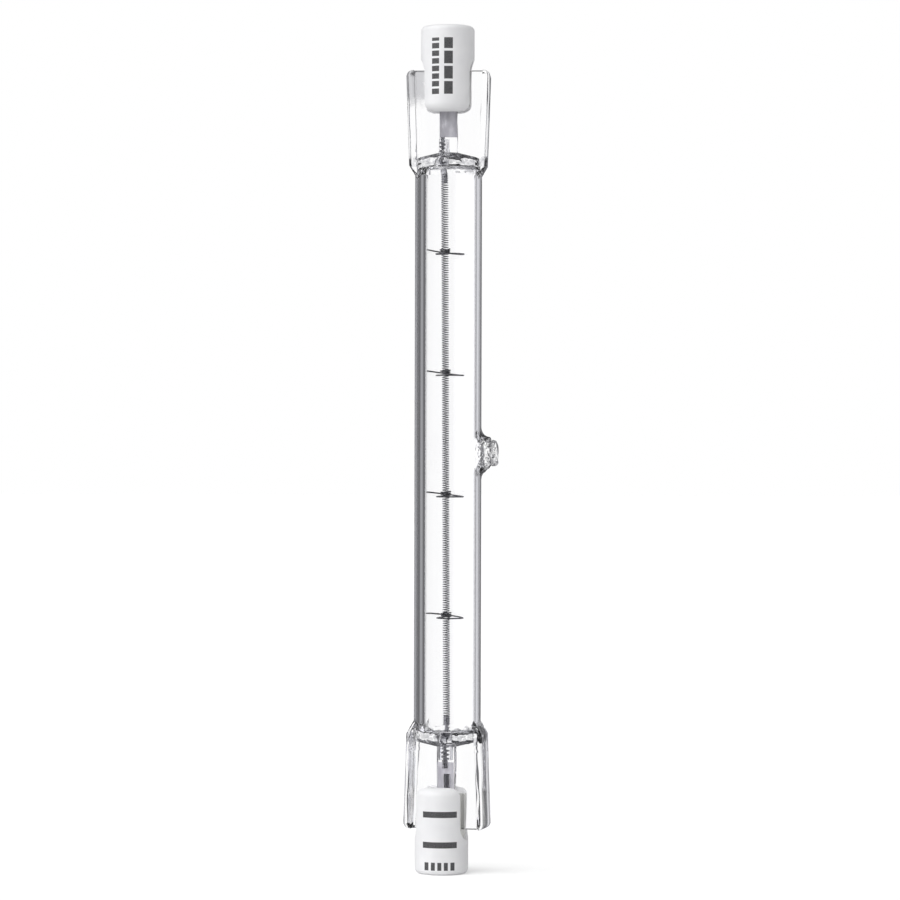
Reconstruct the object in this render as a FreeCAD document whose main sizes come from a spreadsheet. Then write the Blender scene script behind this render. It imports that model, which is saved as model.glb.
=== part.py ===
import FreeCAD, Part
import math
import os
import re
import Sketcher

doc = FreeCAD.newDocument("linear_halogen_bulb")

# All sizes are in millimetres, and angles in degrees. Heights in an end are measured from that end's outer face.
sizes = {
    # Whole lamp: the length over both caps, and how far the tube and the upper cap stand off the lower cap's axis.
    "overall_length": 117.6,
    "tube_offset": 0.75,
    "upper_cap_offset": 0.6,
    "lower_end_turn": 12,
    # Ceramic caps: a round barrel, slotted from its inner end so that two jaws hold the flat seal.
    "cap_diameter": 7.44,
    "cap_length": 12.0,
    "cap_end_rounding": 0.7,
    "cap_tip_rounding": 1.2,
    "slot_width": 3.8,
    "slot_edge_bevel": 0.12,
    "slot_apex": 4.7,
    "lead_hole_diameter": 1.6,
    # Recess in the end of a cap, and the contact that sits at its floor.
    "recess_diameter": 4.4,
    "recess_depth": 1.7,
    "contact_diameter": 3.8,
    "contact_thickness": 0.6,
    "contact_sleeve_diameter": 1.4,
    "contact_sleeve_end": 4.1,
    "contact_bore_start": 2.6,
    "fit_clearance": 0.03,
    # Quartz tube: outside, bore a little off its middle, and the blunt cones that close both at the seals.
    "tube_diameter": 9.3,
    "bore_diameter": 7.0,
    "bore_offset": 0.22,
    "shoulder_apex": 17.2,
    "shoulder_edge": 18.4,
    "shoulder_rounding": 1.0,
    "bore_apex": 19.1,
    "bore_edge": 19.7,
    "bore_rounding": 0.5,
    # Pressed seal: a thin web with a round central rib between two thick rims, wider at its outer end.
    "seal_end": 6.2,
    "seal_shoulder": 19.4,
    "seal_root": 22.0,
    "seal_press_end": 20.6,
    "seal_end_width": 11.7,
    "seal_shoulder_width": 10.8,
    "seal_root_width": 7.8,
    "seal_rim_width": 1.1,
    "seal_rim_depth": 4.3,
    "seal_web": 1.9,
    "seal_rib_diameter": 3.1,
    "seal_corner_rounding": 0.9,
    "seal_edge_rounding": 0.45,
    # Sealed-off exhaust tip on the side of the tube: depths and rises are from the tube's outside.
    "tip_height": 58.3,
    "tip_root_depth": 1.65,
    "tip_root_radius": 3.1,
    "tip_neck_rise": 1.15,
    "tip_neck_radius": 2.2,
    "tip_groove_rise": 1.4,
    "tip_groove_radius": 1.6,
    "tip_knob_rise": 1.6,
    "tip_knob_radius": 1.85,
    "tip_end_rise": 2.38,
    "tip_blend": 1.5,
    "tip_knob_rounding": 0.45,
    # Funnel that the tip leaves in the wall of the bore: depth and length are from the bore's wall.
    "funnel_depth": 1.0,
    "funnel_root_radius": 2.4,
    "funnel_length": 0.75,
    "funnel_end_radius": 1.7,
    "funnel_blend": 0.9,
    # Filament: outside and inside of the coil, its ends, and its place beside the tube's axis at each end.
    "filament_diameter": 1.05,
    "filament_bore": 0.83,
    "filament_end": 20.4,
    "filament_lower_offset": -0.2,
    "filament_upper_offset": -0.65,
    # Inner lead: a leg with an overwound wire in a small pocket of the seal, and a spud inside the coil.
    "leg_diameter": 0.6,
    "spud_length": 1.4,
    "overwind_wire": 0.3,
    "overwind_pitch": 0.55,
    "overwind_start": 15.9,
    "overwind_turns": 5,
    "pocket_start": 15.7,
    "pocket_diameter": 1.4,
    # Sealing foil, and how far each lead lies on it.
    "foil_width": 2.0,
    "foil_thickness": 0.04,
    "foil_start": 10.6,
    "foil_end": 15.4,
    "inner_weld": 0.8,
    "outer_lead_diameter": 0.6,
    "outer_lead_end": 13.8,
    "outer_lead_bend": 5.9,
    "outer_lead_run_in": 4.3,
    # Filament supports: their places as shares of the coil's length, the wire's tight turns, and its widening loops.
    "support_first_share": 0.1986,
    "support_step_share": 0.2193,
    "support_wire": 0.2,
    "support_pitch": 0.25,
    "support_turns": 2,
    "support_inner_loop": 0.95,
    "support_reach": 2.05,
    "support_drop": 0.22,
    "support_wall_rise": 0.4,
    # Cement in the slot of a cap, as long as it reaches along the slot and up it.
    "cement_width": 6.0,
    "cement_end": 11.0,
}

sheet = doc.addObject("Spreadsheet::Sheet", "Sizes")
for row, (alias, value) in enumerate(sizes.items(), 1):
    sheet.set(f"A{row}", alias)
    sheet.set(f"B{row}", str(value))
    sheet.setAlias(f"B{row}", alias)
doc.recompute()


def size(expression):
    return float(sheet.evalExpression(expression))


def s(expression):
    """Names in an expression stand for the sheet's cells."""
    return re.sub(r"[a-z_]+", lambda word: "Sizes." + word[0] if word[0] in sizes else word[0], expression)


def bind(thing, **expressions):
    for name, expression in expressions.items():
        thing.setExpression(name.replace("__", "."), s(expression))


def turn_to(thing, axis, angle, x="0", z="0"):
    """Place a piece by an axis, an angle in degrees and the position of its own origin."""
    thing.Placement = FreeCAD.Placement(FreeCAD.Vector(), FreeCAD.Rotation(FreeCAD.Vector(*axis), 90))
    bind(thing, Placement__Rotation__Angle=angle, Placement__Base__x=x, Placement__Base__z=z)


def in_end(thing, end, x):
    """Lower pieces keep their own up, turned by the press; upper ones are turned over."""
    if end == "lower":
        turn_to(thing, (0, 0, 1), "0 - lower_end_turn", x)
    else:
        turn_to(thing, (1, 0, 0), "180", x, "overall_length")


def plane(body, role):
    return next(feature for feature in body.Origin.OriginFeatures if feature.Role == role)


def new_sketch(body, name, role="XZ_Plane"):
    sketch = body.newObject("Sketcher::SketchObject", name)
    sketch.AttachmentSupport = [(plane(body, role), "")]
    sketch.MapMode = "FlatFace"
    return sketch


def pin(sketch, kind, line, expression):
    """Hold the first point of a line at a distance from the sketch's origin."""
    if expression == "0":
        sketch.addConstraint(Sketcher.Constraint("PointOnObject", line, 1, -2 if kind == "DistanceX" else -1))
        return
    number = sketch.addConstraint(Sketcher.Constraint(kind, -1, 1, line, 1, size(s(expression))))
    sketch.setExpression(f"Constraints[{number}]", s(expression))


def polygon(sketch, corners):
    first, count = sketch.GeometryCount, len(corners)
    points = [FreeCAD.Vector(size(s(x)), size(s(y)), 0) for x, y in corners]
    for i in range(count):
        sketch.addGeometry(Part.LineSegment(points[i], points[(i + 1) % count]))
    for i in range(count):
        sketch.addConstraint(Sketcher.Constraint("Coincident", first + i, 2, first + (i + 1) % count, 1))
    for i, (x, y) in enumerate(corners):
        pin(sketch, "DistanceX", first + i, x)
        pin(sketch, "DistanceY", first + i, y)


def revolve(body, sketch, axis):
    feature = body.newObject("PartDesign::Revolution", sketch.Name + "_turned")
    feature.Profile = sketch
    feature.ReferenceAxis = (sketch, [axis])
    feature.Angle = 360
    return feature


def turned(name, corners):
    """A body of revolution about its own Z from (radius, height) corners."""
    body = doc.addObject("PartDesign::Body", name)
    sketch = new_sketch(body, name + "_profile")
    polygon(sketch, corners)
    revolve(body, sketch, "V_Axis")
    doc.recompute()
    return body


def ease_edges(kind, body, name, wanted, **amount):
    doc.recompute()
    base = body.Tip
    edges = [f"Edge{i}" for i, edge in enumerate(base.Shape.Edges, 1) if wanted(edge)]
    feature = body.newObject("PartDesign::" + kind, name)
    feature.Base = (base, edges)
    bind(feature, **amount)
    doc.recompute()


def round_edges(body, name, radius, wanted):
    ease_edges("Fillet", body, name, wanted, Radius=radius)


def circle_at(radius, height):
    """Picks the round edges of a given radius and height."""

    def wanted(edge):
        curve = edge.Curve
        if not isinstance(curve, Part.Circle):
            return False
        return abs(curve.Radius - size(s(radius))) < 1e-4 and abs(curve.Center.z - size(s(height))) < 1e-4

    return wanted


def join(name, pieces):
    whole = doc.addObject("Part::MultiFuse", name)
    whole.Shapes = pieces
    return whole


def cut(name, base, tool):
    rest = doc.addObject("Part::Cut", name)
    rest.Base = base
    rest.Tool = tool
    return rest


def cylinder(name, diameter, start, end):
    piece = doc.addObject("Part::Cylinder", name)
    bind(piece, Radius=f"{diameter} / 2", Height=f"({end}) - ({start})", Placement__Base__z=start)
    return piece


def half_ring(name, left, right, front, wire):
    """Half a ring of round wire between two (x, z) points, by way of the front or the back."""
    across = f"(({right[0]}) - ({left[0]}))"
    drop = f"(({left[1]}) - ({right[1]}))"
    half = doc.addObject("Part::Torus", name + "_half")
    half.Angle3 = 180
    bind(half, Radius1=f"sqrt({across} ^ 2 + {drop} ^ 2) / 2", Radius2=f"{wire} / 2")
    turn_to(half, (0, 0, 1), "180" if front else "0")
    tilted = doc.addObject("Part::Compound", name)
    tilted.Links = [half]
    turn_to(tilted, (0, 1, 0), f"atan({drop} / {across})", f"(({left[0]}) + ({right[0]})) / 2",
            f"(({left[1]}) + ({right[1]})) / 2")
    return tilted


def wound_wire(name, radius, pitch, turns, wire):
    """Turns of wire about Z, as half rings that climb half a pitch each from the right, by the front first."""
    halves = []
    for number in range(2 * round(size(s(turns)))):
        front = number % 2 == 0
        start, stop = f"{number} * {pitch} / 2", f"{number + 1} * {pitch} / 2"
        left = (f"0 - ({radius})", stop if front else start)
        right = (radius, start if front else stop)
        halves.append(half_ring(f"{name}_{number}", left, right, front, wire))
    return join(name, halves)


finished = []


def finish(thing, label):
    thing.Label = label
    finished.append(thing)
    return thing


tube_x = {"lower": "tube_offset", "upper": "tube_offset"}
cap_x = {"lower": "0", "upper": "upper_cap_offset"}
coil_x = {"lower": "tube_offset + filament_lower_offset", "upper": "tube_offset + filament_upper_offset"}
ends = ("lower", "upper")


# Pressed seal: the flat blank that the press leaves, with its rims rounded and both faces pressed in beside a rib.
def make_seal(end):
    body = doc.addObject("PartDesign::Body", end + "_seal")
    outline = new_sketch(body, end + "_seal_outline")
    right = [("seal_end_width / 2", "seal_end"), ("seal_shoulder_width / 2", "seal_shoulder"),
             ("seal_root_width / 2", "seal_root")]
    left = [("0 - " + x, z) for x, z in reversed(right)]
    polygon(outline, right + left)
    blank = body.newObject("PartDesign::Pad", end + "_seal_blank")
    blank.Profile = outline
    blank.SideType = "Symmetric"
    bind(blank, Length="seal_rim_depth")
    half_width, depth = size(s("seal_end_width / 2")), size(s("seal_rim_depth / 2"))
    low, high = size(s("seal_end")), size(s("seal_root"))

    def end_corner(edge):
        middle = edge.CenterOfMass
        return abs(abs(middle.x) - half_width) < 1e-4 and abs(middle.z - low) < 1e-4

    def outer_edge(edge):
        middle = edge.CenterOfMass
        return abs(abs(middle.y) - depth) < 1e-4 and abs(middle.z - high) > 1e-4

    round_edges(body, end + "_seal_corners", "seal_corner_rounding", end_corner)
    round_edges(body, end + "_seal_edges", "seal_edge_rounding", outer_edge)
    web = new_sketch(body, end + "_seal_web")
    bind(web, AttachmentOffset__Base__z="seal_web / 2")
    foot, head = "seal_end_width / 2 - seal_rim_width", "seal_shoulder_width / 2 - seal_rim_width"
    side = [(foot, "seal_end - 1"), (foot, "seal_end"), (head, "seal_shoulder"), (head, "seal_press_end")]
    polygon(web, side + [("0 - (" + x + ")", z) for x, z in reversed(side)])
    press = body.newObject("PartDesign::Pocket", end + "_seal_pressed")
    press.Profile = web
    press.Type = "ThroughAll"
    press.Reversed = True
    doc.recompute()
    back = body.newObject("PartDesign::Mirrored", end + "_seal_back")
    back.Originals = [press]
    back.MirrorPlane = (plane(body, "XZ_Plane"), [""])
    body.Tip = back
    rib = new_sketch(body, end + "_seal_rib")
    reach = "seal_rib_diameter / 2"
    polygon(rib, [("0", "seal_end"), (reach, "seal_end"), (reach, "seal_press_end"), ("0", "seal_press_end")])
    revolve(body, rib, "V_Axis")
    doc.recompute()
    in_end(body, end, tube_x[end])
    return body


seals = {end: make_seal(end) for end in ends}

# Outside of the quartz tube, closed by a blunt cone at each seal, with the melted exhaust tip on its right.
tube = turned("tube_outside", [
    ("0", "shoulder_apex"), ("tube_diameter / 2", "shoulder_edge"),
    ("tube_diameter / 2", "overall_length - shoulder_edge"), ("0", "overall_length - shoulder_apex")])
for height in ("shoulder_edge", "overall_length - shoulder_edge"):
    round_edges(tube, "tube_shoulder", "shoulder_rounding", circle_at("tube_diameter / 2", height))
tip_profile = new_sketch(tube, "tip_profile")
bind(tip_profile, AttachmentOffset__Base__y="tip_height")
tip_root = "tube_diameter / 2 - tip_root_depth"
tip_end = "tube_diameter / 2 + tip_end_rise"
polygon(tip_profile, [
    (tip_root, "0"), (tip_root, "tip_root_radius"), ("tube_diameter / 2 + tip_neck_rise", "tip_neck_radius"),
    ("tube_diameter / 2 + tip_groove_rise", "tip_groove_radius"),
    ("tube_diameter / 2 + tip_knob_rise", "tip_knob_radius"), (tip_end, "tip_knob_radius"), (tip_end, "0")])
revolve(tube, tip_profile, "H_Axis")


def around_tip(root, wall):
    """Picks the edge where the tip or its funnel leaves a round wall."""

    def wanted(edge):
        box = edge.BoundBox
        level = abs(box.Center.z - size(s("tip_height"))) < 0.2
        beside = size(s(root)) + 0.01 < box.XMin and box.XMax < size(s(wall)) + 0.01
        return level and beside and not isinstance(edge.Curve, Part.Circle)

    return wanted


def knob_end(edge):
    return isinstance(edge.Curve, Part.Circle) and abs(edge.BoundBox.XMin - size(s(tip_end))) < 1e-4


round_edges(tube, "tip_blended", "tip_blend", around_tip(tip_root, "tube_diameter / 2"))
round_edges(tube, "tip_knob_rounded", "tip_knob_rounding", knob_end)
bind(tube, Placement__Base__x="tube_offset")

# Sealed bore of the tube, and the funnel that is left of it under the exhaust tip.
bore = turned("bore", [
    ("0", "bore_apex"), ("bore_diameter / 2", "bore_edge"),
    ("bore_diameter / 2", "overall_length - bore_edge"), ("0", "overall_length - bore_apex")])
for height in ("bore_edge", "overall_length - bore_edge"):
    round_edges(bore, "bore_shoulder", "bore_rounding", circle_at("bore_diameter / 2", height))
funnel_profile = new_sketch(bore, "funnel_profile")
bind(funnel_profile, AttachmentOffset__Base__y="tip_height")
funnel_root = "bore_diameter / 2 - funnel_depth"
funnel_end = "bore_diameter / 2 + funnel_length"
polygon(funnel_profile, [
    (funnel_root, "0"), (funnel_root, "funnel_root_radius"), (funnel_end, "funnel_end_radius"), (funnel_end, "0")])
revolve(bore, funnel_profile, "H_Axis")
round_edges(bore, "funnel_blended", "funnel_blend", around_tip(funnel_root, "bore_diameter / 2"))
bind(bore, Placement__Base__x="tube_offset + bore_offset")

# Sealing foil: a thin strip in the middle of each seal.
foils = {}
for end in ends:
    strip = doc.addObject("Part::Box", end + "_foil_strip")
    bind(strip, Length="foil_width", Width="foil_thickness", Height="foil_end - foil_start",
         Placement__Base__x="0 - foil_width / 2", Placement__Base__y="0 - foil_thickness / 2",
         Placement__Base__z="foil_start")
    foil = doc.addObject("Part::Compound", end + "_foil")
    foil.Links = [strip]
    in_end(foil, end, tube_x[end])
    foils[end] = finish(foil, end + "_foil")


def make_weld_room(name, start, end_height, end):
    """Everything on the far side of the foil's front face, where a lead lying on the foil is pressed flat."""
    room = doc.addObject("Part::Box", name + "_box")
    bind(room, Length="foil_width * 2", Width="seal_rim_depth", Height=f"({end_height}) - ({start})",
         Placement__Base__x="0 - foil_width", Placement__Base__y="0 - foil_thickness / 2", Placement__Base__z=start)
    group = doc.addObject("Part::Compound", name)
    group.Links = [room]
    in_end(group, end, tube_x[end])
    return group


# Inner lead: a leg from the foil up to the coil, with a spud inside the coil and a wire wound over the leg.
legs = {}
for end in ends:
    leg = cylinder(end + "_leg_rod", "leg_diameter", "foil_end - inner_weld", "filament_end")
    spud = cylinder(end + "_spud", "(filament_bore - 2 * fit_clearance)", "filament_end - overwind_wire / 2",
                    "filament_end + spud_length")
    wire = wound_wire(end + "_overwind", "leg_diameter / 2 + overwind_wire / 2 - fit_clearance",
                      "overwind_pitch", "overwind_turns", "overwind_wire")
    bind(wire, Placement__Base__z="overwind_start")
    plain = doc.addObject("Part::Compound", end + "_leg")
    plain.Links = [leg]
    in_end(plain, end, coil_x[end])
    wound = doc.addObject("Part::Compound", end + "_wound")
    wound.Links = [join(end + "_lead_parts", [leg, spud, wire])]
    in_end(wound, end, coil_x[end])
    room = make_weld_room(end + "_inner_weld_room", "foil_end - inner_weld - 1", "foil_end", end)
    legs[end] = cut(end + "_leg_in_glass", plain, room)
    finish(cut(end + "_inner_lead", wound, room), end + "_inner_lead")

# Outer lead: a wire from the foil out of the seal, bent over to the axis of the cap and into the contact.
outer_leads = {}
for end in ends:
    shift = f"({cap_x[end]}) - ({tube_x[end]})"
    holder = doc.addObject("PartDesign::Body", end + "_lead_path_holder")
    path = new_sketch(holder, end + "_lead_path")
    corners = [("0", "outer_lead_end"), ("0", "outer_lead_bend"), (shift, "outer_lead_run_in"),
               (shift, "contact_bore_start")]
    points = [FreeCAD.Vector(size(s(x)), size(s(z)), 0) for x, z in corners]
    for i in range(3):
        path.addGeometry(Part.LineSegment(points[i], points[i + 1]))
        pin(path, "DistanceX", i, corners[i][0])
        pin(path, "DistanceY", i, corners[i][1])
    for i in range(2):
        path.addConstraint(Sketcher.Constraint("Coincident", i, 2, i + 1, 1))
    for kind, part in (("DistanceX", 0), ("DistanceY", 1)):
        value = s(corners[3][part])
        number = path.addConstraint(Sketcher.Constraint(kind, -1, 1, 2, 2, size(value)))
        path.setExpression(f"Constraints[{number}]", value)
    ring = doc.addObject("Part::Circle", end + "_lead_section")
    bind(ring, Radius="outer_lead_diameter / 2", Placement__Base__z="outer_lead_end")
    doc.recompute()
    sweep = doc.addObject("Part::Sweep", end + "_lead_wire")
    sweep.Sections = [ring]
    sweep.Spine = (path, ["Edge1", "Edge2", "Edge3"])
    sweep.Solid = True
    sweep.Transition = "Round corner"
    placed = doc.addObject("Part::Compound", end + "_lead_placed")
    placed.Links = [sweep]
    turn_to(placed, (1, 0, 0), "0" if end == "lower" else "180", tube_x[end],
            "0" if end == "lower" else "overall_length")
    room = make_weld_room(end + "_outer_weld_room", "foil_start", "outer_lead_end + 1", end)
    lead = cut(end + "_outer_lead", placed, room)
    outer_leads[end] = finish(lead, end + "_outer_lead")

# Quartz envelope: tube, seals and tip are one piece of glass, melted tight round the leads and foils.
pockets = []
for end in ends:
    pocket = doc.addObject("Part::Compound", end + "_pocket")
    pocket.Links = [cylinder(end + "_pocket_round", "pocket_diameter", "pocket_start", "bore_edge")]
    in_end(pocket, end, coil_x[end])
    pockets.append(pocket)
outside = join("glass_outside", [tube, seals["lower"], seals["upper"]])
inside = join("glass_inside", [bore, *pockets, *legs.values(), *foils.values(), *outer_leads.values()])
finish(cut("quartz_envelope", outside, inside), "quartz_envelope")

# Filament: the long coil as a sleeve of its outside and inside diameters, standing from one spud to the other.
coil = turned("filament_coil", [
    ("filament_bore / 2", "0"), ("filament_diameter / 2", "0"),
    ("filament_diameter / 2", "overall_length - 2 * filament_end"),
    ("filament_bore / 2", "overall_length - 2 * filament_end")])
turn_to(coil, (0, 1, 0), "atan((filament_upper_offset - filament_lower_offset) / "
        "(overall_length - 2 * filament_end))", coil_x["lower"], "filament_end")
finish(coil, "filament_coil")

# Filament supports: each is one wire, with tight turns round the coil and half loops that widen to the bore's wall.
for number in range(4):
    name = f"support_{number + 1}"
    share = f"(support_first_share + {number} * support_step_share)"
    beside = f"(filament_lower_offset + {share} * (filament_upper_offset - filament_lower_offset))"
    grip = "(filament_diameter / 2 + support_wire / 2 + fit_clearance)"
    tight = wound_wire(name + "_turns", grip, "support_pitch", "support_turns", "support_wire")
    left = f"({grip} - 2 * support_inner_loop)"
    right = f"(support_reach - {beside})"
    wall = f"(bore_offset - (bore_diameter - support_wire) / 2 + fit_clearance - {beside})"
    low = "0 - support_drop"
    halves = [half_ring(name + "_near", (left, low), (grip, "0"), False, "support_wire"),
              half_ring(name + "_front", (left, low), (right, low), True, "support_wire"),
              half_ring(name + "_far", (wall, "support_wall_rise"), (right, low), False, "support_wire")]
    wire = join(name, [tight, *halves])
    bind(wire, Placement__Base__x=f"tube_offset + {beside}",
         Placement__Base__z=f"filament_end + {share} * (overall_length - 2 * filament_end)")
    finish(wire, name)

# Ceramic caps: pressed steatite, with a recess for the contact and a round-bottomed slot over the seal.
for end in ends:
    cap = turned(end + "_cap", [
        ("recess_diameter / 2", "0"), ("cap_diameter / 2", "0"), ("cap_diameter / 2", "cap_length"),
        ("lead_hole_diameter / 2", "cap_length"), ("lead_hole_diameter / 2", "recess_depth + contact_thickness"),
        ("contact_diameter / 2", "recess_depth + contact_thickness"), ("contact_diameter / 2", "recess_depth"),
        ("recess_diameter / 2", "recess_depth")])
    round_edges(cap, end + "_cap_end", "cap_end_rounding", circle_at("cap_diameter / 2", "0"))
    round_edges(cap, end + "_cap_tips", "cap_tip_rounding", circle_at("cap_diameter / 2", "cap_length"))
    in_end(cap, end, cap_x[end])


def slot_profile(body, name, top):
    """A slot with a full round bottom, in the plane across the lamp's flat side."""
    sketch = new_sketch(body, name, "YZ_Plane")
    half, centre, high = size(s("slot_width / 2")), size(s("slot_apex + slot_width / 2")), size(s(top))
    sketch.addGeometry(Part.LineSegment(FreeCAD.Vector(half, high, 0), FreeCAD.Vector(-half, high, 0)))
    sketch.addGeometry(Part.LineSegment(FreeCAD.Vector(-half, high, 0), FreeCAD.Vector(-half, centre, 0)))
    sketch.addGeometry(Part.LineSegment(FreeCAD.Vector(half, centre, 0), FreeCAD.Vector(half, high, 0)))
    round_end = Part.Circle(FreeCAD.Vector(0, centre, 0), FreeCAD.Vector(0, 0, 1), half)
    sketch.addGeometry(Part.ArcOfCircle(round_end, math.pi, 2 * math.pi))
    sketch.addConstraint(Sketcher.Constraint("Coincident", 0, 2, 1, 1))
    sketch.addConstraint(Sketcher.Constraint("Coincident", 2, 2, 0, 1))
    sketch.addConstraint(Sketcher.Constraint("Horizontal", 0))
    sketch.addConstraint(Sketcher.Constraint("Vertical", 1))
    sketch.addConstraint(Sketcher.Constraint("Tangent", 1, 2, 3, 1))
    sketch.addConstraint(Sketcher.Constraint("Tangent", 3, 2, 2, 1))
    sketch.addConstraint(Sketcher.Constraint("PointOnObject", 3, 3, -2))
    for constraint, expression in (
            (Sketcher.Constraint("Radius", 3, half), "slot_width / 2"),
            (Sketcher.Constraint("DistanceY", -1, 1, 3, 3, centre), "slot_apex + slot_width / 2"),
            (Sketcher.Constraint("DistanceY", -1, 1, 0, 1, high), top)):
        number = sketch.addConstraint(constraint)
        sketch.setExpression(f"Constraints[{number}]", s(expression))
    return sketch


def slot_edge(edge):
    """The edges where the slot breaks out through the barrel and the tips of the jaws."""
    half, apex, top = size(s("slot_width / 2")), size(s("slot_apex")), size(s("cap_length"))
    inner = size(s("lead_hole_diameter"))
    points = edge.discretize(7)
    if max(abs(point.y) for point in points) > half + 1e-3 or min(point.z for point in points) < apex - 1e-3:
        return False
    if min(point.z for point in points) > top - 1e-3:
        return True
    return min(abs(point.x) for point in points) > inner


for end in ends:
    cap = doc.getObject(end + "_cap")
    slot = slot_profile(cap, end + "_slot", "cap_length + 1")
    pressed = cap.newObject("PartDesign::Pocket", end + "_cap_slot")
    pressed.Profile = slot
    pressed.SideType = "Symmetric"
    bind(pressed, Length="cap_diameter * 2")
    ease_edges("Chamfer", cap, end + "_cap_slot_edges", slot_edge, Size="slot_edge_bevel")
    finish(cap, end + "_cap")

# Contacts: a button at the floor of the recess, with a sleeve that holds the end of the outer lead.
for end in ends:
    contact = turned(end + "_contact", [
        ("0", "recess_depth"), ("contact_diameter / 2 - fit_clearance", "recess_depth"),
        ("contact_diameter / 2 - fit_clearance", "recess_depth + contact_thickness"),
        ("contact_sleeve_diameter / 2", "recess_depth + contact_thickness"),
        ("contact_sleeve_diameter / 2", "contact_sleeve_end"),
        ("outer_lead_diameter / 2 + fit_clearance", "contact_sleeve_end"),
        ("outer_lead_diameter / 2 + fit_clearance", "contact_bore_start"), ("0", "contact_bore_start")])
    in_end(contact, end, cap_x[end])
    finish(contact, end + "_contact")

# Cement: fills the slot between the jaws of each cap and the seal that stands in it.
for end in ends:
    fill = doc.addObject("PartDesign::Body", end + "_cement_fill")
    profile = slot_profile(fill, end + "_cement_profile", "cement_end")
    block = fill.newObject("PartDesign::Pad", end + "_cement_block")
    block.Profile = profile
    block.SideType = "Symmetric"
    bind(block, Length="cement_width")
    in_end(fill, end, cap_x[end])
    finish(cut(end + "_cement", fill, join(end + "_cement_room", [seals[end], outer_leads[end]])), end + "_cement")

doc.recompute()
for thing in doc.Objects:
    if {"Invalid", "Error"} & set(thing.State):
        raise RuntimeError(f"{thing.Name} didn't compute: {thing.State}")
for thing in finished:
    if thing.Shape.isNull() or not thing.Shape.isValid() or len(thing.Shape.Solids) != 1:
        raise RuntimeError(f"{thing.Label} isn't one valid solid: {len(thing.Shape.Solids)}")

os.makedirs("parts", exist_ok=True)
for thing in finished:
    thing.Shape.exportStep(f"parts/{thing.Label}.step")
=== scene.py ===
import bpy
import math
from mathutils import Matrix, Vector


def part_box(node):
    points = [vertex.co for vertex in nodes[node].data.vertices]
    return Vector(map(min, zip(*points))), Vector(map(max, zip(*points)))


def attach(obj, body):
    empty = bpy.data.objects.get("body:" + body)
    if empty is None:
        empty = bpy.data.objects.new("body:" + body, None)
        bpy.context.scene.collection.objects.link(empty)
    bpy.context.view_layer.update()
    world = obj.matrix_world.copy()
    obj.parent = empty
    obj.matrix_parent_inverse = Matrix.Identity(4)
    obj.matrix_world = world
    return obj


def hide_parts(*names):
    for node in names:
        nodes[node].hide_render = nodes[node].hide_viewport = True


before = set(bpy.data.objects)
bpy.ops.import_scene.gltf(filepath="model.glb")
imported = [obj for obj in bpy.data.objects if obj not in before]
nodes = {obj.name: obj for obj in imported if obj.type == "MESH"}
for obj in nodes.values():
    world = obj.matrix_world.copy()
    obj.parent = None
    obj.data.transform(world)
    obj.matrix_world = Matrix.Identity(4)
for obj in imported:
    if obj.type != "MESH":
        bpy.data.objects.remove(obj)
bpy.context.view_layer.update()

# Quartz envelope: one piece of clear fused quartz, drawn as a tube of 9.3 mm and pressed flat at both ends
# while soft. Drawing leaves faint streaks along the tube, pressing leaves rippled shoulders and rounded
# rims, and a grey bloom frosts one corner of the upper seal. Painted shade darkens its edges, most on the
# seals and tip, and the creases of its shoulders; the left rims are painted lighter.
mm = 0.001


def new_finish(name):
    """A material with its shader and the piece's own coordinates, in metres."""
    finish = bpy.data.materials.new(name)
    finish.use_nodes = True
    tree = finish.node_tree
    place = tree.nodes.new("ShaderNodeTexCoord")
    return finish, tree, tree.nodes["Principled BSDF"], place.outputs["Object"]


def dress(finish, *names):
    """Give a finish to the named pieces."""
    for name in names:
        nodes[name].material_slots[0].material = finish


def cloudy(tree, place, size, detail=3.0, stretch=1.0):
    """Soft random clouds of about a given size in metres, drawn out along the lamp by a factor."""
    mapping = tree.nodes.new("ShaderNodeMapping")
    mapping.inputs["Scale"].default_value = (1 / size, 1 / size, 1 / size / stretch)
    noise = tree.nodes.new("ShaderNodeTexNoise")
    noise.inputs["Scale"].default_value = 1.0
    noise.inputs["Detail"].default_value = detail
    tree.links.new(place, mapping.inputs["Vector"])
    tree.links.new(mapping.outputs["Vector"], noise.inputs["Vector"])
    return noise.outputs["Fac"]


def shades(tree, fac, dark, light, low=0.3, high=0.7):
    """Turn a value into a colour between two shades."""
    ramp = tree.nodes.new("ShaderNodeValToRGB")
    ramp.color_ramp.elements[0].position = low
    ramp.color_ramp.elements[0].color = (*dark, 1)
    ramp.color_ramp.elements[1].position = high
    ramp.color_ramp.elements[1].color = (*light, 1)
    tree.links.new(fac, ramp.inputs["Fac"])
    return ramp.outputs["Color"]


def values(tree, fac, low, high):
    """Turn clouds into a number between two limits."""
    spread = tree.nodes.new("ShaderNodeMapRange")
    spread.inputs["From Min"].default_value = 0.3
    spread.inputs["From Max"].default_value = 0.7
    spread.inputs["To Min"].default_value = low
    spread.inputs["To Max"].default_value = high
    tree.links.new(fac, spread.inputs["Value"])
    return spread.outputs["Result"]


def combine(tree, operation, first, second=0.0):
    """One step of arithmetic on two values, each a number or the output of a node."""
    step = tree.nodes.new("ShaderNodeMath")
    step.operation = operation
    for socket, value in zip(step.inputs, (first, second)):
        if isinstance(value, float):
            socket.default_value = value
        else:
            tree.links.new(value, socket)
    return step.outputs["Value"]


def within(tree, value, middle, half):
    """1 where a value lies no further than a half-width from its middle, and 0 elsewhere."""
    test = tree.nodes.new("ShaderNodeMath")
    test.operation = "COMPARE"
    tree.links.new(value, test.inputs[0])
    test.inputs[1].default_value = middle
    test.inputs[2].default_value = half
    return test.outputs["Value"]


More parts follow.
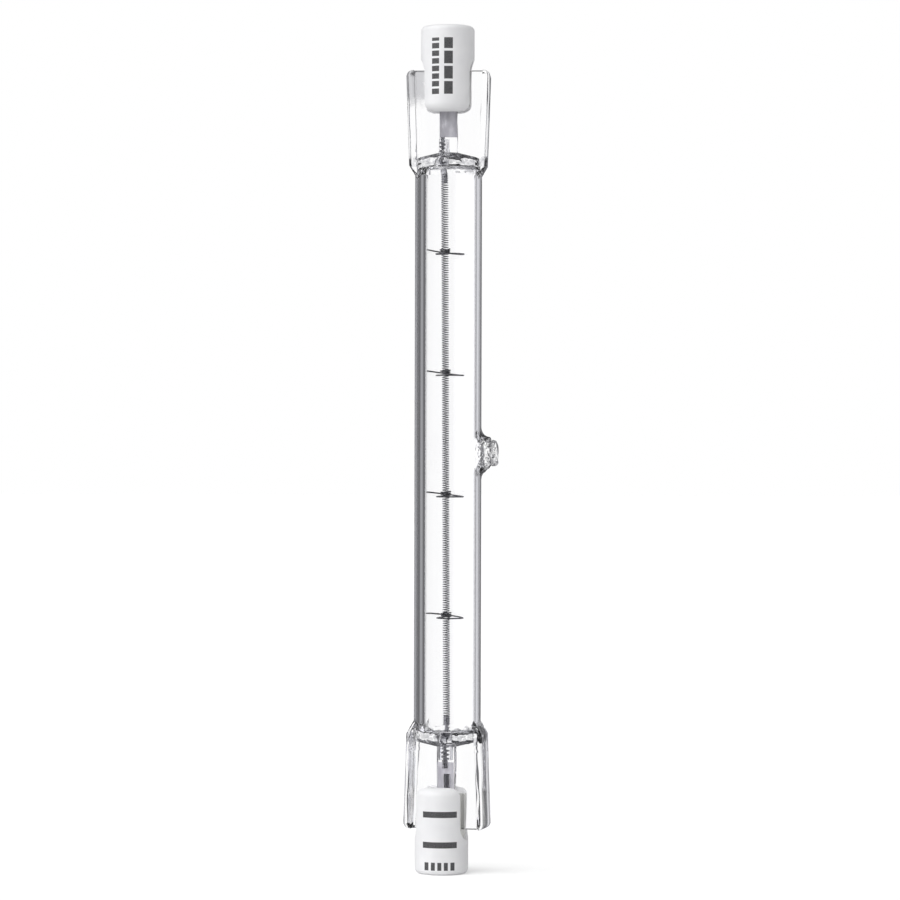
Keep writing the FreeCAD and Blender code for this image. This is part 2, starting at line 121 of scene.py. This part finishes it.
def fade(tree, value, start, stop):
    """1 up to a start, falling smoothly to 0 at a stop."""
    slope = tree.nodes.new("ShaderNodeMapRange")
    slope.interpolation_type = "SMOOTHSTEP"
    slope.inputs["From Min"].default_value = start
    slope.inputs["From Max"].default_value = stop
    slope.inputs["To Min"].default_value = 1.0
    slope.inputs["To Max"].default_value = 0.0
    tree.links.new(value, slope.inputs["Value"])
    return slope.outputs["Result"]


def away_from(tree, place, point):
    """The distance from a point."""
    gap = tree.nodes.new("ShaderNodeVectorMath")
    gap.operation = "DISTANCE"
    gap.inputs[1].default_value = point
    tree.links.new(place, gap.inputs[0])
    return gap.outputs["Value"]


def wavy(tree, fac, depth, strength, under=None):
    """Surface normals of waves of a given depth, over those of a layer under them."""
    bump = tree.nodes.new("ShaderNodeBump")
    bump.inputs["Distance"].default_value = depth
    if isinstance(strength, float):
        bump.inputs["Strength"].default_value = strength
    else:
        tree.links.new(strength, bump.inputs["Strength"])
    tree.links.new(fac, bump.inputs["Height"])
    if under is not None:
        tree.links.new(under, bump.inputs["Normal"])
    return bump.outputs["Normal"]


def blended(tree, blend_type, fac, first, second):
    """Two colours laid over each other by a share."""
    mix = tree.nodes.new("ShaderNodeMix")
    mix.data_type = "RGBA"
    mix.blend_type = blend_type
    if isinstance(fac, float):
        mix.inputs["Factor"].default_value = fac
    else:
        tree.links.new(fac, mix.inputs["Factor"])
    tree.links.new(first, mix.inputs[6])
    tree.links.new(second, mix.inputs[7])
    return mix.outputs[2]


def choose(tree, fac, first, second):
    """The second of two shaders where a value is 1, and the first where it is 0."""
    mix = tree.nodes.new("ShaderNodeMixShader")
    tree.links.new(fac, mix.inputs["Fac"])
    tree.links.new(first, mix.inputs[1])
    tree.links.new(second, mix.inputs[2])
    return mix.outputs["Shader"]


glass_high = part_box("quartz_envelope")[1]
lamp_middle = 58.8 * mm
tube_axis = 0.75 * mm
lower_turn = math.radians(-12)
tip_level = 58.3 * mm
tip_heart = (glass_high.x - 1.2 * mm, 0, tip_level)
tip_core = 2.0 * mm
tip_skirt = 3.6 * mm
outer_wall = 4.1 * mm
seal_root = 38.6 * mm
shoulder_middle = 39.9 * mm
shoulder_half = 1.9 * mm
crease_middle = 40.0 * mm
crease_half = 0.6 * mm
rim_root = 39.2 * mm
rim_half = 0.55 * mm
rim_reach = 0.6 * mm
rim_roundness = 0.9
lit_side = -2.5 * mm
lit_clearness = 0.75
seal_flare = 0.034
seal_half_width = 4.06 * mm
bloom_wander = 0.9 * mm
bloom_drop_start = 3.2 * mm
bloom_drop_end = 5.4 * mm
bloom_side_start = -3.4 * mm
bloom_side_end = -2.4 * mm
bloom_roughness = 0.3
white = (1.0, 1.0, 1.0)

quartz, tree, shader, place = new_finish("clear_quartz")
along = tree.nodes.new("ShaderNodeSeparateXYZ")
tree.links.new(place, along.inputs["Vector"])
aside = combine(tree, "SUBTRACT", along.outputs["X"], tube_axis)
from_middle = combine(tree, "ABSOLUTE", combine(tree, "SUBTRACT", along.outputs["Z"], lamp_middle))
in_seal = combine(tree, "GREATER_THAN", from_middle, seal_root)
at_shoulder = within(tree, from_middle, shoulder_middle, shoulder_half)
in_crease = within(tree, from_middle, crease_middle, crease_half)
near_tip = fade(tree, away_from(tree, place, tip_heart), tip_core, tip_skirt)
at_tip = combine(tree, "MULTIPLY", near_tip, combine(tree, "GREATER_THAN", aside, outer_wall))

lower_half = combine(tree, "LESS_THAN", along.outputs["Z"], lamp_middle)
lean_back = combine(tree, "MULTIPLY", lower_half, math.sin(lower_turn))
across = combine(tree, "ADD", aside, combine(tree, "MULTIPLY", along.outputs["Y"], lean_back))
half_width = combine(tree, "ADD", combine(tree, "MULTIPLY", from_middle, seal_flare), seal_half_width)
rim_middle = combine(tree, "SUBTRACT", half_width, rim_half)
off_rim = combine(tree, "SUBTRACT", combine(tree, "ABSOLUTE", across), rim_middle)
past_root = combine(tree, "GREATER_THAN", from_middle, rim_root)
on_rim = combine(tree, "MULTIPLY", within(tree, off_rim, 0.0, rim_reach), past_root)
swell = combine(tree, "MULTIPLY", combine(tree, "MULTIPLY", off_rim, on_rim), rim_roundness / rim_half)
outward = tree.nodes.new("ShaderNodeCombineXYZ")
tree.links.new(combine(tree, "MULTIPLY", swell, combine(tree, "SIGN", across)), outward.inputs["X"])
surface = tree.nodes.new("ShaderNodeNewGeometry")
tilted = tree.nodes.new("ShaderNodeVectorMath")
tree.links.new(surface.outputs["Normal"], tilted.inputs[0])
tree.links.new(outward.outputs["Vector"], tilted.inputs[1])
rounded = tree.nodes.new("ShaderNodeVectorMath")
rounded.operation = "NORMALIZE"
tree.links.new(tilted.outputs["Vector"], rounded.inputs[0])

streaks = cloudy(tree, place, 0.9 * mm, detail=2.0, stretch=25)
skin = wavy(tree, streaks, 0.01 * mm, 0.25, rounded.outputs["Vector"])
skin = wavy(tree, cloudy(tree, place, 1.1 * mm, detail=1.0), 0.2 * mm, at_shoulder, skin)
skin = wavy(tree, cloudy(tree, place, 1.6 * mm, detail=1.0, stretch=4), 0.35 * mm, in_seal, skin)
skin = wavy(tree, cloudy(tree, place, 0.8 * mm, detail=1.0), 0.9 * mm, at_tip, skin)
tree.links.new(skin, shader.inputs["Normal"])

# Painted shade: glass darkened where it turns away from the view, most on the seals and the tip.
slant = tree.nodes.new("ShaderNodeLayerWeight")
slant.inputs["Blend"].default_value = 0.5
tree.links.new(skin, slant.inputs["Normal"])
clear_tint = shades(tree, streaks, (0.99, 0.99, 0.995), white)
painted_tube_edge_shade = shades(tree, slant.outputs["Facing"], white, (0.30, 0.30, 0.32), low=0.55, high=0.95)
painted_worked_edge_shade = shades(tree, slant.outputs["Facing"], white, (0.28, 0.28, 0.30), low=0.22, high=0.75)
painted_glass_shade = blended(tree, "MIX", combine(tree, "MAXIMUM", at_tip, in_seal), painted_tube_edge_shade, painted_worked_edge_shade)
# Painted light: the rims on the left, where the light falls, keep most of their clearness.
painted_lit_rim = combine(tree, "MULTIPLY", combine(tree, "LESS_THAN", across, lit_side), in_seal)
painted_glass_shade = blended(tree, "MIX", combine(tree, "MULTIPLY", painted_lit_rim, lit_clearness), painted_glass_shade, clear_tint)
# Painted shade: grey clouds darken the crease of each shoulder.
crease_shade_clouds = cloudy(tree, place, 0.8 * mm, detail=2.0)
painted_crease_shade = shades(tree, crease_shade_clouds, (0.55, 0.55, 0.57), white, low=0.42, high=0.58)
painted_glass_shade = blended(tree, "MULTIPLY", in_crease, painted_glass_shade, painted_crease_shade)
streaks_and_painted_shade = blended(tree, "MULTIPLY", 1.0, clear_tint, painted_glass_shade)

bloom_drift = values(tree, cloudy(tree, place, 1.3 * mm), -bloom_wander, bloom_wander)
bloom_drop = combine(tree, "SUBTRACT", glass_high.z, combine(tree, "ADD", along.outputs["Z"], bloom_drift))
bloom_side = combine(tree, "ADD", aside, bloom_drift)
bloom_below = fade(tree, bloom_drop, bloom_drop_start, bloom_drop_end)
bloom_beside = fade(tree, bloom_side, bloom_side_start, bloom_side_end)
bloom = combine(tree, "MULTIPLY", bloom_below, bloom_beside)
bloom_tint = shades(tree, bloom, white, (0.64, 0.64, 0.655), low=0.0, high=1.0)
tree.links.new(blended(tree, "MULTIPLY", 1.0, streaks_and_painted_shade, bloom_tint), shader.inputs["Base Color"])
tree.links.new(combine(tree, "MULTIPLY", bloom, bloom_roughness), shader.inputs["Roughness"])
shader.inputs["IOR"].default_value = 1.458
shader.inputs["Transmission Weight"].default_value = 1.0

path = tree.nodes.new("ShaderNodeLightPath")
clear = tree.nodes.new("ShaderNodeBsdfTransparent")
lets_light = choose(tree, path.outputs["Is Shadow Ray"], shader.outputs["BSDF"], clear.outputs["BSDF"])
tree.links.new(lets_light, tree.nodes["Material Output"].inputs["Surface"])
dress(quartz, "quartz_envelope")

# Exhaust tip: the stub of the pumping tube on the side of the quartz, melted off in a flame and pulled
# away. The flame leaves it lumpy. The drawn tube beside it stays true.
tip_root = tube_axis + 4.75 * mm
tip_reach = 5 * mm
tip_neck = 0.8 * mm


def on_tip(spot):
    """Whether a spot of the glass belongs to the tip."""
    return spot.x > tip_root and abs(spot.z - tip_level) < tip_reach


bpy.ops.object.select_all(action="DESELECT")
glass = bpy.data.objects.new("melted_quartz", nodes["quartz_envelope"].data.copy())
bpy.context.scene.collection.objects.link(glass)
glass.select_set(True)
bpy.context.view_layer.objects.active = glass
bpy.ops.object.mode_set(mode="EDIT")
bpy.ops.mesh.select_mode(type="FACE")
bpy.ops.mesh.select_all(action="DESELECT")
bpy.ops.object.mode_set(mode="OBJECT")
for face in glass.data.polygons:
    face.select = on_tip(face.center)
bpy.ops.object.mode_set(mode="EDIT")
bpy.ops.mesh.remove_doubles(threshold=0.0005 * mm, use_unselected=True)
bpy.ops.mesh.subdivide(number_cuts=2)
bpy.ops.object.mode_set(mode="OBJECT")
molten = glass.vertex_groups.new(name="molten")
for point in glass.data.vertices:
    if on_tip(point.co):
        molten.add([point.index], min(1.0, (point.co.x - tip_root) / tip_neck), "REPLACE")
lumps = bpy.data.textures.new("lumps", "CLOUDS")
lumps.noise_scale = 0.9 * mm
lumps.noise_depth = 1
melt = glass.modifiers.new("melt", "DISPLACE")
melt.texture = lumps
melt.texture_coords = "LOCAL"
melt.vertex_group = "molten"
melt.mid_level = 0.6
melt.strength = 0.5 * mm
bpy.ops.object.modifier_apply(modifier="melt")
for point in glass.data.vertices:
    point.co.x = min(point.co.x, glass_high.x)
for face in glass.data.polygons:
    face.use_smooth = face.use_smooth or face.select

moved = {index for face in glass.data.polygons if face.select for index in face.vertices}
normals = [corner.vector.copy() for corner in glass.data.corner_normals]
kept = glass.data.attributes.new("kept_normals", "FLOAT_VECTOR", "CORNER")
for corner, keeper, normal in zip(glass.data.loops, kept.data, normals):
    keeper.vector = (0, 0, 0) if corner.vertex_index in moved else normal
weld = glass.modifiers.new("weld", "WELD")
weld.merge_threshold = 0.00001 * mm
bpy.ops.object.modifier_apply(modifier="weld")
normals = [keeper.vector.copy() for keeper in glass.data.attributes["kept_normals"].data]
glass.data.normals_split_custom_set(normals)
glass.data.attributes.remove(glass.data.attributes["kept_normals"])
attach(glass, "root")
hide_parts("quartz_envelope")

# Filament: a single coil of drawn tungsten wire, 0.13 mm thick and wound to 1.05 mm, some 240 turns from
# one spud to the other. It leans a little to the left on its way up.
coil_low, coil_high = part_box("filament_coil")
coil_radius = (coil_high.y - coil_low.y) / 2
wire_radius = 0.065 * mm
wire_sides = 8
turn_pitch = 0.32 * mm
turn_steps = 20
coil_height = coil_high.z - coil_low.z
coil_turns = round(coil_height / turn_pitch)
coil_foot = coil_high.x - coil_radius
coil_head = coil_low.x + coil_radius
coil_lean = math.atan2(coil_head - coil_foot, coil_height)

bpy.ops.object.select_all(action="DESELECT")
bpy.ops.mesh.primitive_circle_add(
    vertices=wire_sides, radius=wire_radius,
    location=(coil_radius - wire_radius, 0, wire_radius), rotation=(math.pi / 2, 0, 0))
coil = bpy.context.object
coil.name = "filament_turns"
bpy.ops.object.transform_apply(location=True, rotation=True, scale=True)
winding = coil.modifiers.new("winding", "SCREW")
winding.axis = "Z"
winding.angle = 2 * math.pi
winding.screw_offset = (coil_height - 2 * wire_radius) / coil_turns
winding.iterations = coil_turns
winding.steps = turn_steps
winding.render_steps = turn_steps
winding.use_smooth_shade = True
bpy.ops.object.modifier_apply(modifier="winding")
bpy.ops.object.mode_set(mode="EDIT")
bpy.ops.mesh.select_mode(type="EDGE")
bpy.ops.mesh.select_all(action="DESELECT")
bpy.ops.mesh.select_non_manifold()
bpy.ops.mesh.fill()
bpy.ops.mesh.select_all(action="SELECT")
bpy.ops.mesh.normals_make_consistent(inside=False)
bpy.ops.object.mode_set(mode="OBJECT")
coil.rotation_euler = (0, coil_lean, 0)
coil.location = (coil_foot, 0, coil_low.z)
bpy.ops.object.transform_apply(location=True, rotation=True, scale=True)

tungsten, tree, shader, place = new_finish("drawn_tungsten")
drawn = cloudy(tree, place, 0.5 * mm)
tree.links.new(shades(tree, drawn, (0.13, 0.13, 0.14), (0.26, 0.26, 0.27)), shader.inputs["Base Color"])
shader.inputs["Metallic"].default_value = 1.0
tree.links.new(values(tree, drawn, 0.22, 0.4), shader.inputs["Roughness"])
coil.data.materials.append(tungsten)
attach(coil, "root")
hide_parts("filament_coil")

# Inner leads: thick tungsten legs with an overwound wire. They stand in the seals, and each ends in a spud
# that carries the coil.
dress(tungsten, "lower_inner_lead", "upper_inner_lead")

# Supports: tungsten wire of 0.2 mm, wound tight round the coil and opened out to the wall of the bore, on
# which it rests. It is left as drawn, with a dark skin of oxide.
dark_wire, tree, shader, place = new_finish("oxidised_tungsten")
oxide = cloudy(tree, place, 0.4 * mm)
tree.links.new(shades(tree, oxide, (0.02, 0.02, 0.023), (0.07, 0.07, 0.075)), shader.inputs["Base Color"])
shader.inputs["Metallic"].default_value = 0.7
tree.links.new(values(tree, oxide, 0.35, 0.55), shader.inputs["Roughness"])
dress(dark_wire, "support_1", "support_2", "support_3", "support_4")

# Sealing foils: strips of molybdenum, 2 mm wide and rolled to 0.04 mm with thin edges, faintly wavy, with
# the glass pressed tight on to them. They are 0.06 mm thick here, so that none of their faces coincides
# with one of the glass.
foil_width = 2.0 * mm
strip_thickness = 0.06 * mm
edge_bevel = 0.025 * mm

foil, tree, shader, place = new_finish("rolled_molybdenum")
waves = cloudy(tree, place, 0.6 * mm, stretch=3)
tree.links.new(shades(tree, waves, (0.42, 0.41, 0.46), (0.66, 0.65, 0.70)), shader.inputs["Base Color"])
tree.links.new(values(tree, waves, 0.3, 0.5), shader.inputs["Roughness"])
tree.links.new(wavy(tree, waves, 0.02 * mm, 0.4), shader.inputs["Normal"])
for end, turn in (("lower", lower_turn), ("upper", 0)):
    foil_low, foil_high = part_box(end + "_foil")
    bpy.ops.object.select_all(action="DESELECT")
    bpy.ops.mesh.primitive_cube_add(size=1.0, location=(foil_low + foil_high) / 2, rotation=(0, 0, turn))
    strip = bpy.context.object
    strip.name = end + "_foil_strip"
    strip.scale = (foil_width, strip_thickness, foil_high.z - foil_low.z)
    bpy.ops.object.transform_apply(location=True, rotation=True, scale=True)
    bpy.ops.object.mode_set(mode="EDIT")
    bpy.ops.mesh.select_all(action="SELECT")
    bpy.ops.mesh.bevel(offset=edge_bevel, segments=2)
    bpy.ops.object.mode_set(mode="OBJECT")
    bpy.ops.object.shade_smooth_by_angle(angle=math.radians(35))
    strip.data.materials.append(foil)
    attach(strip, "root")
    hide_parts(end + "_foil")

# Outer leads: molybdenum wire of 0.6 mm, welded to the foil and led out through the seal to the contact.
# The heat of sealing has darkened it.
lead, tree, shader, place = new_finish("oxidised_molybdenum")
heat = cloudy(tree, place, 0.7 * mm)
tree.links.new(shades(tree, heat, (0.03, 0.03, 0.035), (0.09, 0.09, 0.1)), shader.inputs["Base Color"])
shader.inputs["Metallic"].default_value = 0.6
tree.links.new(values(tree, heat, 0.45, 0.65), shader.inputs["Roughness"])
dress(lead, "lower_outer_lead", "upper_outer_lead")

# Contacts: nickel-plated buttons with a sleeve for the lead, seated in the floor of each recess. The
# plating is a little uneven in its shine.
nickel, tree, shader, place = new_finish("plated_nickel")
plating = cloudy(tree, place, 0.3 * mm)
tree.links.new(shades(tree, plating, (0.60, 0.58, 0.54), (0.72, 0.70, 0.66)), shader.inputs["Base Color"])
shader.inputs["Metallic"].default_value = 1.0
tree.links.new(values(tree, plating, 0.2, 0.38), shader.inputs["Roughness"])
dress(nickel, "lower_contact", "upper_contact")

# Ceramic caps: white steatite, pressed and fired to a satin skin, with a slot that takes the seal. A mark
# is stamped on the front of each in dark ink: plain bars along the upper cap, and plain bands across the
# lower one.


def fired_steatite(name, stamped):
    """White ceramic with a fine grain, and dark ink where the stamp has pressed."""
    finish, tree, shader, place = new_finish(name)
    mottle = cloudy(tree, place, 2.5 * mm)
    grain = cloudy(tree, place, 0.12 * mm, detail=5.0)
    axes = tree.nodes.new("ShaderNodeSeparateXYZ")
    tree.links.new(place, axes.inputs["Vector"])
    front = combine(tree, "LESS_THAN", axes.outputs["Y"], 0.0)
    inked = combine(tree, "MULTIPLY", stamped(tree, axes.outputs["X"], axes.outputs["Z"]), front)
    worn = combine(tree, "MULTIPLY", inked, values(tree, grain, 0.86, 1.0))
    body = shades(tree, mottle, (0.84, 0.84, 0.855), (0.89, 0.89, 0.90))
    ink = shades(tree, grain, (0.012, 0.012, 0.014), (0.04, 0.04, 0.043))
    tree.links.new(blended(tree, "MIX", worn, body, ink), shader.inputs["Base Color"])
    tree.links.new(values(tree, grain, 0.38, 0.5), shader.inputs["Roughness"])
    shader.inputs["Specular IOR Level"].default_value = 0.45
    tree.links.new(wavy(tree, grain, 0.01 * mm, 0.25), shader.inputs["Normal"])
    return finish


def dashes(tree, value, start, step, length):
    """1 along each dash of a row that starts at a place and repeats."""
    wrapped = combine(tree, "FLOORED_MODULO", combine(tree, "SUBTRACT", value, start), step)
    return combine(tree, "LESS_THAN", wrapped, length)


def upper_stamp(tree, x, z):
    """Two rows of short bars along the cap."""
    stamp_middle = 111.8 * mm
    stamp_half = 3.9 * mm
    foot = stamp_middle - stamp_half
    stamp = within(tree, z, stamp_middle, stamp_half)
    rows = []
    for middle, half, step, length in ((-0.95 * mm, 0.5 * mm, 1.05 * mm, 0.75 * mm),
                                       (0.85 * mm, 0.6 * mm, 2.1 * mm, 1.75 * mm)):
        row = combine(tree, "MULTIPLY", within(tree, x, middle, half), dashes(tree, z, foot, step, length))
        rows.append(combine(tree, "MULTIPLY", row, stamp))
    return combine(tree, "MAXIMUM", *rows)


def lower_stamp(tree, x, z):
    """Two broad bands across the cap, and a row of small bars under them."""
    band_half = 0.42 * mm
    stamp = within(tree, x, -0.1 * mm, 2.35 * mm)
    upper_band = within(tree, z, 8.4 * mm, band_half)
    lower_band = within(tree, z, 4.2 * mm, band_half)
    row = dashes(tree, x, -2.2 * mm, 0.9 * mm, 0.55 * mm)
    bars = combine(tree, "MULTIPLY", within(tree, z, 1.25 * mm, 0.55 * mm), row)
    bands = combine(tree, "MAXIMUM", upper_band, lower_band)
    return combine(tree, "MULTIPLY", stamp, combine(tree, "MAXIMUM", bands, bars))


dress(fired_steatite("upper_steatite", upper_stamp), "upper_cap")
dress(fired_steatite("lower_steatite", lower_stamp), "lower_cap")

# Cement: pale paste pressed into the slot round each seal, where it dries hard and holds the cap. Its face
# is gritty and matt.
cement, tree, shader, place = new_finish("dry_cement")
grit = cloudy(tree, place, 0.25 * mm, detail=6.0)
tree.links.new(shades(tree, grit, (0.66, 0.66, 0.64), (0.80, 0.80, 0.78)), shader.inputs["Base Color"])
shader.inputs["Roughness"].default_value = 0.9
tree.links.new(wavy(tree, grit, 0.05 * mm, 0.6), shader.inputs["Normal"])
dress(cement, "lower_cement", "upper_cement")

# Floor: a wide sheet of matt white board under the lamp. What the camera sees of it is lifted to white,
# and the lamp's shadow stays on it.
bpy.ops.object.select_all(action="DESELECT")
bpy.ops.mesh.primitive_plane_add(size=8.0, location=(0, 0, -0.02 * mm))
floor = bpy.context.object
floor.name = "floor"
board, tree, shader, _ = new_finish("white_board")
shader.inputs["Base Color"].default_value = (0.9, 0.9, 0.9, 1)
shader.inputs["Roughness"].default_value = 0.9
shader.inputs["Specular IOR Level"].default_value = 0.0
path = tree.nodes.new("ShaderNodeLightPath")
lift = tree.nodes.new("ShaderNodeEmission")
tree.links.new(combine(tree, "MULTIPLY", path.outputs["Is Camera Ray"], 0.3), lift.inputs["Strength"])
lifted = tree.nodes.new("ShaderNodeAddShader")
tree.links.new(shader.outputs["BSDF"], lifted.inputs[0])
tree.links.new(lift.outputs["Emission"], lifted.inputs[1])
tree.links.new(lifted.outputs["Shader"], tree.nodes["Material Output"].inputs["Surface"])
floor.data.materials.append(board)
floor.visible_glossy = False
floor.visible_transmission = False

# Surroundings: white to the camera and through the glass. Light that has been turned back inside glass or
# by metal comes from a studio of dark and pale screens, set from left to right. All else is lit by a soft
# white.


def studio(tree, fac, levels):
    """Grey levels of the studio from its left to its right."""
    ramp = tree.nodes.new("ShaderNodeValToRGB")
    stops = ramp.color_ramp.elements
    stops.remove(stops[1])
    stops[0].position = levels[0][0]
    for position, _ in levels[1:]:
        stops.new(position)
    for stop, (_, level) in zip(stops, levels):
        stop.color = (level, level, level * 1.05, 1)
    tree.links.new(fac, ramp.inputs["Fac"])
    return ramp.outputs["Color"]


def sky(tree, strength, colour=None):
    """An even white, or the colours given, at a strength."""
    background = tree.nodes.new("ShaderNodeBackground")
    background.inputs["Strength"].default_value = strength
    if colour is None:
        background.inputs["Color"].default_value = (1, 1, 1, 1)
    else:
        tree.links.new(colour, background.inputs["Color"])
    return background.outputs["Background"]


glass_levels = ((0.04, 0.15), (0.10, 0.15), (0.14, 0.36), (0.22, 0.36), (0.27, 0.13), (0.52, 0.13),
                (0.58, 0.38), (0.68, 0.40), (0.76, 0.74), (0.81, 0.74), (0.87, 0.36), (0.92, 0.36),
                (0.97, 0.8))
metal_levels = ((0.0, 1.0), (0.3, 1.0), (0.4, 0.2), (0.53, 0.2), (0.65, 0.8), (0.8, 0.7), (0.9, 0.5))

world = bpy.data.worlds.new("studio")
bpy.context.scene.world = world
world.use_nodes = True
tree = world.node_tree
path = tree.nodes.new("ShaderNodeLightPath")
direction = tree.nodes.new("ShaderNodeTexCoord")
heading = tree.nodes.new("ShaderNodeSeparateXYZ")
tree.links.new(direction.outputs["Generated"], heading.inputs["Vector"])
side = tree.nodes.new("ShaderNodeMapRange")
side.inputs["From Min"].default_value = -1.0
side.inputs["From Max"].default_value = 1.0
tree.links.new(heading.outputs["X"], side.inputs["Value"])

reflected = combine(tree, "GREATER_THAN", path.outputs["Glossy Depth"], 0.5)
direct = combine(tree, "LESS_THAN", path.outputs["Diffuse Depth"], 0.5)
off_metal = combine(tree, "MULTIPLY", reflected, direct)
in_one_wall = combine(tree, "LESS_THAN", path.outputs["Transmission Depth"], 2.5)
turned_back = combine(tree, "MULTIPLY", off_metal, in_one_wall)
glass_studio = sky(tree, 1.0, studio(tree, side.outputs["Result"], glass_levels))
metal_studio = sky(tree, 1.6, studio(tree, side.outputs["Result"], metal_levels))
beyond_glass = choose(tree, path.outputs["Is Camera Ray"], sky(tree, 1.05), sky(tree, 1.0))
looked_at = choose(tree, turned_back, choose(tree, off_metal, beyond_glass, metal_studio), glass_studio)
bent = combine(tree, "MAXIMUM", path.outputs["Is Glossy Ray"], path.outputs["Is Transmission Ray"])
seen = combine(tree, "MAXIMUM", path.outputs["Is Camera Ray"], bent)
surroundings = choose(tree, seen, sky(tree, 0.4), looked_at)
tree.links.new(surroundings, tree.nodes["World Output"].inputs["Surface"])

# Key light: one broad soft source from the upper left, in front of the lamp. It models the caps and throws
# a faint shadow to the right.
bpy.ops.object.light_add(
    type="SUN", location=(-0.5, -0.5, 0.6), rotation=(math.radians(48), 0, math.radians(-48)))
key = bpy.context.object
key.name = "key_light"
key.data.energy = 2.1
key.data.angle = math.radians(70)

# Camera: level, at half the lamp's height and almost straight in front, 480 mm away. The picture spans
# 125.1 mm at the lamp.
camera_distance = 480 * mm
camera_turn = math.radians(2.5)
camera_roll = math.radians(-0.15)
picture_width = 125.1 * mm
aim = (1.04 * mm, 0, 58.76 * mm)
lens = bpy.data.cameras.new("camera")
lens.sensor_width = 36.0
lens.lens = lens.sensor_width * camera_distance / picture_width
lens.clip_start = 0.01
lens.clip_end = 20.0
camera = bpy.data.objects.new("camera", lens)
bpy.context.scene.collection.objects.link(camera)
camera.location = (aim[0] + camera_distance * math.sin(camera_turn),
                   aim[1] - camera_distance * math.cos(camera_turn), aim[2])
camera.rotation_euler = (math.pi / 2, camera_roll, camera_turn)
bpy.context.scene.camera = camera
bpy.context.scene.view_settings.view_transform = "Standard"
